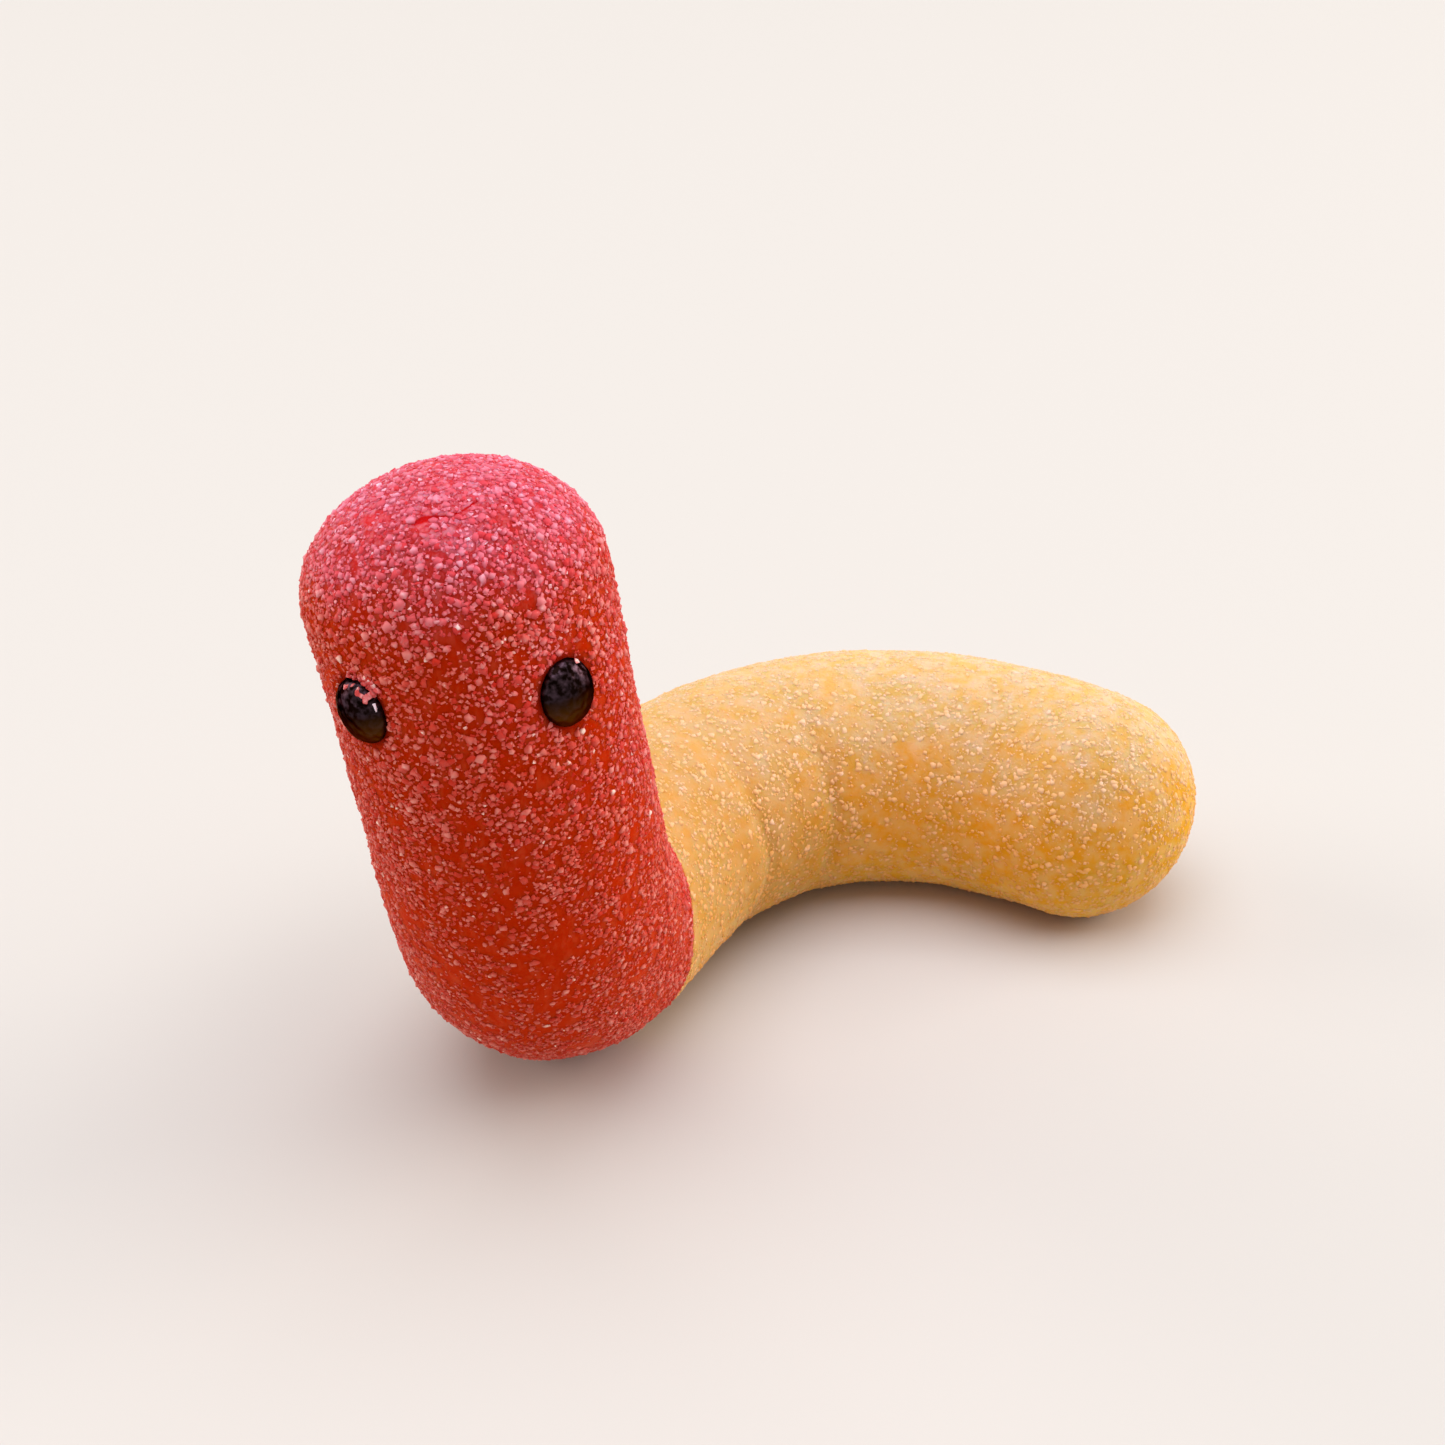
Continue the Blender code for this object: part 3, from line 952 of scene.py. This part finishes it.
def drift(name):
    """One mesh of every row's crystals, each drawn evenly within the row's ranges."""
    random = np.random.default_rng(DRIFT_SEED)
    thrown = []
    for eye, count, arc, reach, size, tone in DRIFTS:
        turn = np.radians(random.uniform(*arc, count))
        spots, out = bead_place(eye, turn, random.uniform(*reach, count))
        sizes = random.uniform(*size, count)
        tones = random.uniform(*tone, count)
        thrown.append((spots, out, sizes, tones))
    spots, out, sizes, tones = (np.concatenate(column) for column in zip(*thrown))
    return crystals(name, CUT_BLOCK, spots, out, sizes, tones, np.full(len(spots), DRIFT_FROST_AND_LIGHT))


sugar["sugar_drift_red"] = drift("sugar_drift_red")

# %% The splinter below the drift
SPLINTER = CUT_BLOCK * (0.56, 1.0, 0.56)
SPLINTER_TURN = 19.0
SPLINTER_REACH = 0.97
SPLINTER_SIZE = 0.00062
SPLINTER_TONE = 3.0


def splinter(name):
    """One narrow crystal that stands along the left bead's own axes."""
    turn = np.radians([SPLINTER_TURN])
    spot, out = bead_place("eye_left", turn, np.array([SPLINTER_REACH]))
    size = np.array([SPLINTER_SIZE])
    tone = np.array([SPLINTER_TONE])
    return crystals(name, SPLINTER, spot, out, size, tone, np.ones(1), left_axes.T[None])


sugar["sugar_splinter_red"] = splinter("sugar_splinter_red")

# %% [markdown]
# Materials could be wired by hand in the shader editor, but shader maths reads best as
# maths. A small class wraps a socket, so that +, - and * on it add Math nodes. Any other
# node is added by one method, from its type, its settings and its inputs.


# %% A socket that does arithmetic
class Wire:
    """An output socket whose arithmetic adds Math nodes."""

    def __init__(self, finish, socket):
        self.finish = finish
        self.socket = socket

    def maths(self, operation, first, second):
        """One Math node that does this operation on the first and the second."""
        return self.finish.add("ShaderNodeMath", {"operation": operation}, {0: first, 1: second})

    def __add__(self, other):
        return self.maths("ADD", self, other)

    def __sub__(self, other):
        return self.maths("SUBTRACT", self, other)

    def __rsub__(self, other):
        return self.maths("SUBTRACT", other, self)

    def __mul__(self, other):
        return self.maths("MULTIPLY", self, other)

    __radd__ = __add__
    __rmul__ = __mul__


# %% Colours from a picture
def colour(red, green, blue):
    """A colour from the 0 to 255 of a picture to the linear values of a shader.

    Dark parts are divided by 12.92; the others get 0.055 added, are divided by 1.055
    and raised to the power 2.4.
    """
    parts = np.array([red, green, blue]) / 255
    linear = np.where(parts <= 0.04045, parts / 12.92, ((parts + 0.055) / 1.055) ** 2.4)
    return (*linear.tolist(), 1.0)


print("a middle grey of a picture is linear", round(colour(128, 128, 128)[0], 3))


# %% A material that takes wires
class Wiring:
    """A material with one Principled shader, and one way to add the nodes that feed it."""

    def __init__(self, name, constants):
        self.material = bpy.data.materials.new(name)
        self.material.use_nodes = True
        self.nodes = self.material.node_tree.nodes
        self.links = self.material.node_tree.links
        self.shader = self.nodes["Principled BSDF"]
        self.into(constants)

    def add(self, kind, settings=None, inputs=None, output=0):
        """Adds a node of this kind: first its settings, then its sockets' values or links."""
        node = self.nodes.new(kind)
        for name, value in (settings or {}).items():
            if name == "stops":
                self.set_stops(node.color_ramp, value)
            else:
                setattr(node, name, value)
        for name, value in (inputs or {}).items():
            self.feed(node.inputs[name], value)
        return Wire(self, node.outputs[output])

    def set_stops(self, ramp, stops):
        """Puts each stop's place and colour on a ramp, which starts with two stops."""
        for number, (place, tint) in enumerate(stops):
            stop = ramp.elements[number] if number < 2 else ramp.elements.new(place)
            stop.position = place
            stop.color = tint

    def feed(self, socket, value):
        """Links a wire to a socket, or sets the socket to a value."""
        if isinstance(value, Wire):
            self.links.new(value.socket, socket)
        else:
            socket.default_value = value

    def into(self, wires):
        """Feeds the shader's own sockets by their names."""
        for name, wire in wires.items():
            self.feed(self.shader.inputs[name], wire)


# %% [markdown]
# A finish is such a material with a few patterns ready to hand. Each reads the place on
# the piece or a number that the mesh stores, and not the camera or the window, so that it
# stays put from all sides.


# %% A finish and its patterns
class Finish(Wiring):
    """A material's patterns: each method adds its nodes and gives back the last one."""

    def stored(self, name):
        """A number that the mesh stores for each of its points."""
        return self.add("ShaderNodeAttribute", {"attribute_name": name}, output="Fac")

    def ramp(self, value, stops):
        """A colour that changes with the value, from stops of a place and a picture's colour."""
        linear = [(place, colour(*tint)) for place, tint in stops]
        return self.add("ShaderNodeValToRGB", {"stops": linear}, {"Fac": value})

    def noise(self, scale, detail, rough, shape=(1.0, 1.0, 1.0)):
        """A cloudy pattern from 0 to 1 with this many clouds to a metre.

        The shape squeezes the clouds along x, y and z, and under 1 it draws them out.
        """
        place = self.add("ShaderNodeTexCoord", output="Object")
        place = self.add("ShaderNodeVectorMath", {"operation": "MULTIPLY"}, {0: place, 1: shape})
        return self.add(
            "ShaderNodeTexNoise",
            inputs={"Vector": place, "Scale": scale, "Detail": detail, "Roughness": rough},
        )

    def cells(self, scale, shift):
        """How far in from its cell's edge a point is, where cells this many to a metre pack.

        The place is first moved by a cloudy pattern times the shift, so the edges wander.
        """
        place = self.add("ShaderNodeTexCoord", output="Object")
        cloud = self.add(
            "ShaderNodeTexNoise", inputs={"Vector": place, "Scale": scale}, output="Color"
        )
        moved = self.add(
            "ShaderNodeVectorMath",
            {"operation": "MULTIPLY_ADD"},
            {0: cloud, 1: (shift, shift, shift), 2: place},
        )
        return self.add(
            "ShaderNodeTexVoronoi",
            {"feature": "DISTANCE_TO_EDGE"},
            {"Vector": moved, "Scale": scale},
            output="Distance",
        )

    def range(self, value, low, high):
        """Stretches low to high over 0 to 1 and clips the rest."""
        return self.add(
            "ShaderNodeMapRange",
            {"clamp": True},
            {"Value": value, "From Min": low, "From Max": high},
        )

    def blend(self, share, first, second):
        """A colour between two: the first at 0, the second at 1."""
        return self.add(
            "ShaderNodeMix",
            {"data_type": "RGBA"},
            {"Factor": share, 6: first, 7: second},
            output=2,
        )

    def bump(self, height, distance, strength):
        """Tilts the surface as if it were raised by the height times the distance."""
        settings = {"Height": height, "Distance": distance, "Strength": strength}
        self.into({"Normal": self.add("ShaderNodeBump", inputs=settings)})


print("patterns:", [name for name in vars(Finish) if not name.startswith("_")])

# %% [markdown]
# Jelly is translucent: light goes in, takes the dye's colour and comes out some way
# off. Glass with an absorbing inside would be truer but slow and noisy, so subsurface
# scattering does it, with red travelling furthest. The red is brighter in the crack. Round
# each bead it is painted dark, as shade, and the yellow is painted deeper towards the bend,
# as shade from the head. What faces up is painted paler and what faces down warmer, as
# light from above and below. A film of the finest sugar dust pales both in patches and
# roughens them.

# %% Colours of the jelly
# LOW colours are for what faces down and HIGH ones for what faces up. The HIGH ones are paler and
# cooler as painted light from above, the LOW ones deeper and warmer as painted light from below;
# the films also pale with the thicker dust on top.
RED_LOW = colour(184, 36, 0)
RED_HIGH = colour(206, 42, 50)
RED_CRACK = colour(206, 22, 26)
# Painted shade: the red darkened round each bead.
RED_BEAD_SHADE = colour(120, 10, 6)
RED_FILM_LOW = colour(200, 70, 36)
RED_FILM_HIGH = colour(238, 122, 142)
YELLOW_LOW = colour(230, 154, 30)
YELLOW_HIGH = colour(222, 177, 105)
# Painted shade on the yellow near the head.
YELLOW_PAINTED_SHADE = colour(190, 145, 100)
YELLOW_FILM_LOW = colour(232, 176, 102)
YELLOW_FILM_HIGH = colour(224, 194, 164)
print("red jelly, linear:", np.round(RED_LOW[:3], 3), "yellow:", np.round(YELLOW_LOW[:3], 3))

# %% Patterns of the jelly
# Patterns: how many to a metre, how many finer layers, how strong those are, and for the
# streaks how far they are squeezed along x, y and z.
CLOUDS = (1000.0, 3.0, 0.6)
PATCHES = (900.0, 3.0, 0.6)
STREAKS = (2600.0, 2.0, 0.5, (1.0, 1.0, 0.3))
# What part of a pattern's range is stretched over 0 to 1.
SOFT_EDGE = (0.38, 0.62)
STREAK_EDGE = (0.50, 0.62)
GRAIN_EDGE = (0.0, 0.26)
CRACK_EDGE = (0.3, 0.8)
FILM_CELLS = 1900.0
FILM_SHIFT = 0.0007
FILM_BETWEEN_PATCHES = 0.25
FILM_UNDERNEATH = 0.18
STREAK_FILM = 0.3
# How strongly the painted shade darkens the red round each bead.
BEAD_SHADE_STRENGTH = 0.8
CLOUD_FILM = 0.75
HEAD_SHADE = 0.46
HEAD_SHADE_LESS_ON_TOP = 0.16
JELLY_ROUGH = 0.34
PATCH_ROUGH = 0.20
FILM_RAISED = 0.00005
FILM_BUMP = 0.7
print("clouds and cells in mm:", round(1000 / CLOUDS[0], 2), round(1000 / FILM_CELLS, 2))


# %% The jelly's finish
def jelly_finish():
    """Red and yellow jelly, each blended with its film; the red also with its crack and its
    painted shade round the beads, the yellow with its painted shade towards the bend.

    The film is sunk grains times the patches times the stored number for thick sugar and
    painted top light, plus streaks on the red.
    """
    made = Finish(
        "jelly",
        {
            "Subsurface Weight": 0.8,
            "Subsurface Radius": (1.0, 0.35, 0.15),
            "Subsurface Scale": 0.0014,
            "Specular IOR Level": 0.0,
            "Sheen Weight": 0.25,
            "Sheen Roughness": 0.25,
            "Sheen Tint": (1.0, 0.72, 0.62, 1.0),
        },
    )
    red = made.stored("red")
    # The stored number blends to the colours of painted light: paler from above, warmer from below.
    settled_and_lit = made.stored("frost")
    patches = made.range(made.noise(*PATCHES), *SOFT_EDGE)
    clouds = made.range(made.noise(*CLOUDS), *SOFT_EDGE)
    streaks = made.range(made.noise(*STREAKS), *STREAK_EDGE)
    sunk_grains = made.range(made.cells(FILM_CELLS, FILM_SHIFT), *GRAIN_EDGE)
    film = sunk_grains * at_least(FILM_BETWEEN_PATCHES, patches)
    film = film * at_least(FILM_UNDERNEATH, settled_and_lit) + STREAK_FILM * streaks * red

    red_film = made.blend(settled_and_lit, RED_FILM_LOW, RED_FILM_HIGH)
    red_jelly = made.blend(film, made.blend(settled_and_lit, RED_LOW, RED_HIGH), red_film)
    in_crack = made.range(made.stored("crack"), *CRACK_EDGE)
    red_jelly = made.blend(in_crack, red_jelly, RED_CRACK)
    # Painted shade: the red is darkened round each bead.
    red_jelly = made.blend(BEAD_SHADE_STRENGTH * made.stored("rim"), red_jelly, RED_BEAD_SHADE)

    yellow_film = made.blend(settled_and_lit, YELLOW_FILM_LOW, YELLOW_FILM_HIGH)
    yellow_jelly = made.blend(settled_and_lit, YELLOW_LOW, YELLOW_HIGH)
    yellow_jelly = made.blend(CLOUD_FILM * clouds, yellow_jelly, yellow_film)
    # Painted shade: the yellow darkens towards the bend, less where it faces up.
    head_shade_share = made.stored("bend") * (HEAD_SHADE - HEAD_SHADE_LESS_ON_TOP * settled_and_lit)
    yellow_jelly = made.blend(head_shade_share, yellow_jelly, YELLOW_PAINTED_SHADE)

    made.into({"Base Color": made.blend(red, yellow_jelly, red_jelly)})
    made.into({"Roughness": JELLY_ROUGH + PATCH_ROUGH * patches})
    made.bump(film, FILM_RAISED, FILM_BUMP)
    return made.material


jelly.data.materials.append(jelly_finish())
print("nodes in the jelly's finish:", len(jelly.active_material.node_tree.nodes))

# %% [markdown]
# A sugar crystal is clear, yet a coat of them looks frosted, tinted by the jelly that
# shines up through it. Clear glass would be slow, and dark among so many crystals, so
# each is opaque and its colour tells the same story: the jelly's own where it meets the
# skin, and paler the higher a corner stands. Every corner stores its tone, because the
# real ones differ: most are dull, and a few are painted near white as glints. Where sugar
# faces up, the colours are pinker on the red half and creamier on the yellow, partly for
# the thicker sugar and partly as painted light from above; facing down they are warmer, as
# painted light from below.

# %% Colours of the sugar, from its lowest tone to its brightest
# Each LOW ramp is for crystals facing down, painted warmer as lit from below; each HIGH one for
# crystals facing up, painted pinker or creamier as lit from above.
RED_LOW_SUGAR = (
    (0.0, (200, 38, 4)),
    (0.30, (210, 74, 56)),
    (0.70, (234, 142, 128)),
    (0.95, (255, 222, 208)),
)
RED_HIGH_SUGAR = (
    (0.0, (214, 50, 62)),
    (0.30, (224, 104, 128)),
    (0.70, (238, 172, 202)),
    (0.95, (252, 232, 250)),
)
YELLOW_LOW_SUGAR = (
    (0.0, (234, 160, 56)),
    (0.30, (240, 175, 102)),
    (0.70, (248, 200, 158)),
    (0.95, (255, 220, 190)),
)
YELLOW_HIGH_SUGAR = (
    (0.0, (232, 190, 124)),
    (0.30, (236, 198, 156)),
    (0.70, (244, 214, 194)),
    (0.95, (255, 232, 222)),
)
print("tones of the sugar:", [place for place, _ in RED_LOW_SUGAR])

# %% The sugar's finish
CLOUDED_TONE = 0.50
SUGAR_ROUGH = 0.34
SUGAR_POLISH = 0.18


def sugar_finish(name, low_stops, high_stops, clouded):
    """Two ramps of the tone, blended by the stored number for thick sugar and painted light.

    Roughness is less where the tone is high. Clouds weaken the tone, at most to half.
    """
    made = Finish(
        name,
        {
            "IOR": 1.5,
            "Specular IOR Level": 0.12,
            "Specular Tint": (1.0, 0.8, 0.9, 1.0),
        },
    )
    tone = made.stored("tone")
    if clouded:
        clouds = made.range(made.noise(*CLOUDS), *SOFT_EDGE)
        tone = tone * at_least(CLOUDED_TONE, clouds)
    low = made.ramp(tone, low_stops)
    high = made.ramp(tone, high_stops)
    # Blends the painted light: the HIGH ramp facing up, the LOW ramp facing down.
    made.into({"Base Color": made.blend(made.stored("frost"), low, high)})
    made.into({"Roughness": SUGAR_ROUGH - SUGAR_POLISH * tone})
    return made.material


sugar_on_red = sugar_finish("sugar_on_red", RED_LOW_SUGAR, RED_HIGH_SUGAR, False)
sugar_on_yellow = sugar_finish("sugar_on_yellow", YELLOW_LOW_SUGAR, YELLOW_HIGH_SUGAR, True)
for name, piece in sugar.items():
    piece.data.materials.append(sugar_on_red if name.endswith("red") else sugar_on_yellow)
print("pieces of sugar:", len(sugar))

# %% [markdown]
# The beads are near-black candy that mirrors the room in brown. Their upper part has a
# thin dusty film, its flecks tinted lilac as a painted reflection of the window above, and
# their foot a warmer brown, a painted reflection of the jelly that shines into them.
# A white gloss over black would mirror a bright room in grey. A metallic shader mirrors
# only as much as its own dark colour says, so the whole bead stays dark and warm.

# %% The beads' finish
BEAD_TOP = colour(20, 10, 8)
# A painted reflection of the warm jelly at the bead's foot.
BEAD_FOOT_REFLECTION = colour(86, 50, 14)
# Dust flecks, tinted lilac as a painted reflection of the window above.
BEAD_DUST_AND_REFLECTION = colour(80, 62, 74)
BEAD_CLOUDS = (1500.0, 3.0, 0.6)
BEAD_GRAIN = (3400.0, 2.0, 0.5)
FOOT_EDGE = (0.50, 1.00)
FOOT_WANDER = 0.2
FLECK_EDGE = (0.42, 0.68)
DUST_AND_REFLECTION_EDGE = (0.48, 0.22)
DUST_AND_REFLECTION_BELOW = 0.12
BEAD_ROUGH = 0.22
BEAD_CLOUD_ROUGH = 0.24
BEAD_RAISED = 0.00003
BEAD_BUMP = 0.6


def bead_finish():
    """Black, then a painted brown reflection at the foot, then dust flecks painted lilac above."""
    made = Finish("bead", {"Metallic": 1.0, "Specular Tint": (0.34, 0.19, 0.08, 1.0)})
    cloud = made.noise(*BEAD_CLOUDS)
    grain = made.noise(*BEAD_GRAIN)
    low = made.stored("low")
    foot = made.range(low + FOOT_WANDER * cloud, *FOOT_EDGE)
    # The foot's brown is a painted reflection of the warm jelly and floor.
    black = made.blend(foot, BEAD_TOP, BEAD_FOOT_REFLECTION)
    # Dust flecks on the upper part, tinted as a painted reflection of the window.
    dust_and_reflection = at_least(DUST_AND_REFLECTION_BELOW, made.range(low, *DUST_AND_REFLECTION_EDGE))
    flecks = made.range(grain, *FLECK_EDGE) * dust_and_reflection
    made.into({"Base Color": made.blend(flecks, black, BEAD_DUST_AND_REFLECTION)})
    made.into({"Roughness": BEAD_ROUGH + BEAD_CLOUD_ROUGH * cloud})
    made.bump(grain, BEAD_RAISED, BEAD_BUMP)
    return made.material


black_candy = bead_finish()
for piece in beads.values():
    piece.data.materials.append(black_candy)
print("nodes in the beads' finish:", len(black_candy.node_tree.nodes))

# %% [markdown]
# The floor is a wide pale sheet. A small bright lamp would draw hard shadows of every
# crystal, so the light comes from a large soft window overhead. Two weaker warm lamps
# stand low at the left and the right, a little behind, and a bright warm room round
# them fills the shadows.

# %% The pale floor
FLOOR_HALF = 8.0
FLOOR_COLOUR = colour(206, 206, 205)
FLOOR_ROUGH = 0.9


def pale_floor():
    """One square of this half side, level with the surface that the worm lies on."""
    corners = np.array([(-1, -1, 0), (1, -1, 0), (1, 1, 0), (-1, 1, 0)]) * FLOOR_HALF
    made = put_mesh("floor", corners, [(0, 1, 2, 3)])
    finish = Finish("floor", {"Roughness": FLOOR_ROUGH, "Base Color": FLOOR_COLOUR})
    made.data.materials.append(finish.material)


pale_floor()
print("floor in m:", 2 * FLOOR_HALF)

# %% Soft light
# Each lamp's place, the side of its square, its power in watts and its colour.
LAMPS = {
    "window": ((0.0, -0.12, 2.0), 2.2, 41.0, (0.97, 0.95, 1.0)),
    "left": ((-1.5, 0.35, 0.55), 1.0, 11.0, (1.0, 0.90, 0.80)),
    "right": ((1.5, 0.35, 0.55), 1.0, 17.5, (1.0, 0.90, 0.80)),
}
LAMPS_AIM = np.array([0.0, 0.0, 0.015])
ROOM_COLOUR = (1.0, 0.90, 0.76, 1.0)
ROOM_STRENGTH = 0.45


def soft_light(name, place, size, power, tint):
    """A square lamp that looks from its place at the aim, along their difference."""
    light = bpy.data.lights.new(name, "AREA")
    light.shape = "SQUARE"
    light.size = size
    light.energy = power
    light.color = tint
    lamp = bpy.data.objects.new(name, light)
    bpy.context.scene.collection.objects.link(lamp)
    lamp.location = place
    lamp.rotation_euler = Vector(LAMPS_AIM - place).to_track_quat("-Z", "Y").to_euler()


for name, lamp in LAMPS.items():
    soft_light(name, *lamp)
room = bpy.data.worlds.new("room")
bpy.context.scene.world = room
room.use_nodes = True
room.node_tree.nodes["Background"].inputs["Color"].default_value = ROOM_COLOUR
room.node_tree.nodes["Background"].inputs["Strength"].default_value = ROOM_STRENGTH
bpy.context.scene.view_settings.view_transform = "Standard"
print("lamps:", list(LAMPS))

# %% [markdown]
# The camera stands where the picture was taken from: a little above the worm, looking
# down at it. Its place is measured from the elbow, so it follows the worm if that moves.
# The picture's size and the focal length in its pixels give the lens.

# %% Camera
PICTURE = 1445
FOCAL_PIXELS = 2100
SENSOR = 36.0
NEAREST = 0.005
CAMERA_FROM_ELBOW = np.array([0.00680, -0.10346, 0.07098])
CAMERA_PITCH = 30.13

camera_data = bpy.data.cameras.new("camera")
camera_data.sensor_width = SENSOR
camera_data.lens = SENSOR * FOCAL_PIXELS / PICTURE
camera_data.clip_start = NEAREST
camera = bpy.data.objects.new("camera", camera_data)
bpy.context.scene.collection.objects.link(camera)
elbow = at(np.array([LYING]), POINTS)[0]
camera.location = elbow + CAMERA_FROM_ELBOW
camera.rotation_euler = (math.radians(90 - CAMERA_PITCH), 0, 0)
bpy.context.scene.camera = camera
print("camera at mm:", (np.array(camera.location) * 1000).round(1))

# %% [markdown]
# Last, every piece is tied to the frame. The skin and its sugar stand for the solid
# worm, and the beads for the solid eyes.

# %% Tie the pieces to the frame
for piece in [jelly, *sugar.values(), *beads.values()]:
    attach(piece, "root")
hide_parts("worm")
for name, piece in beads.items():
    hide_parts(name)
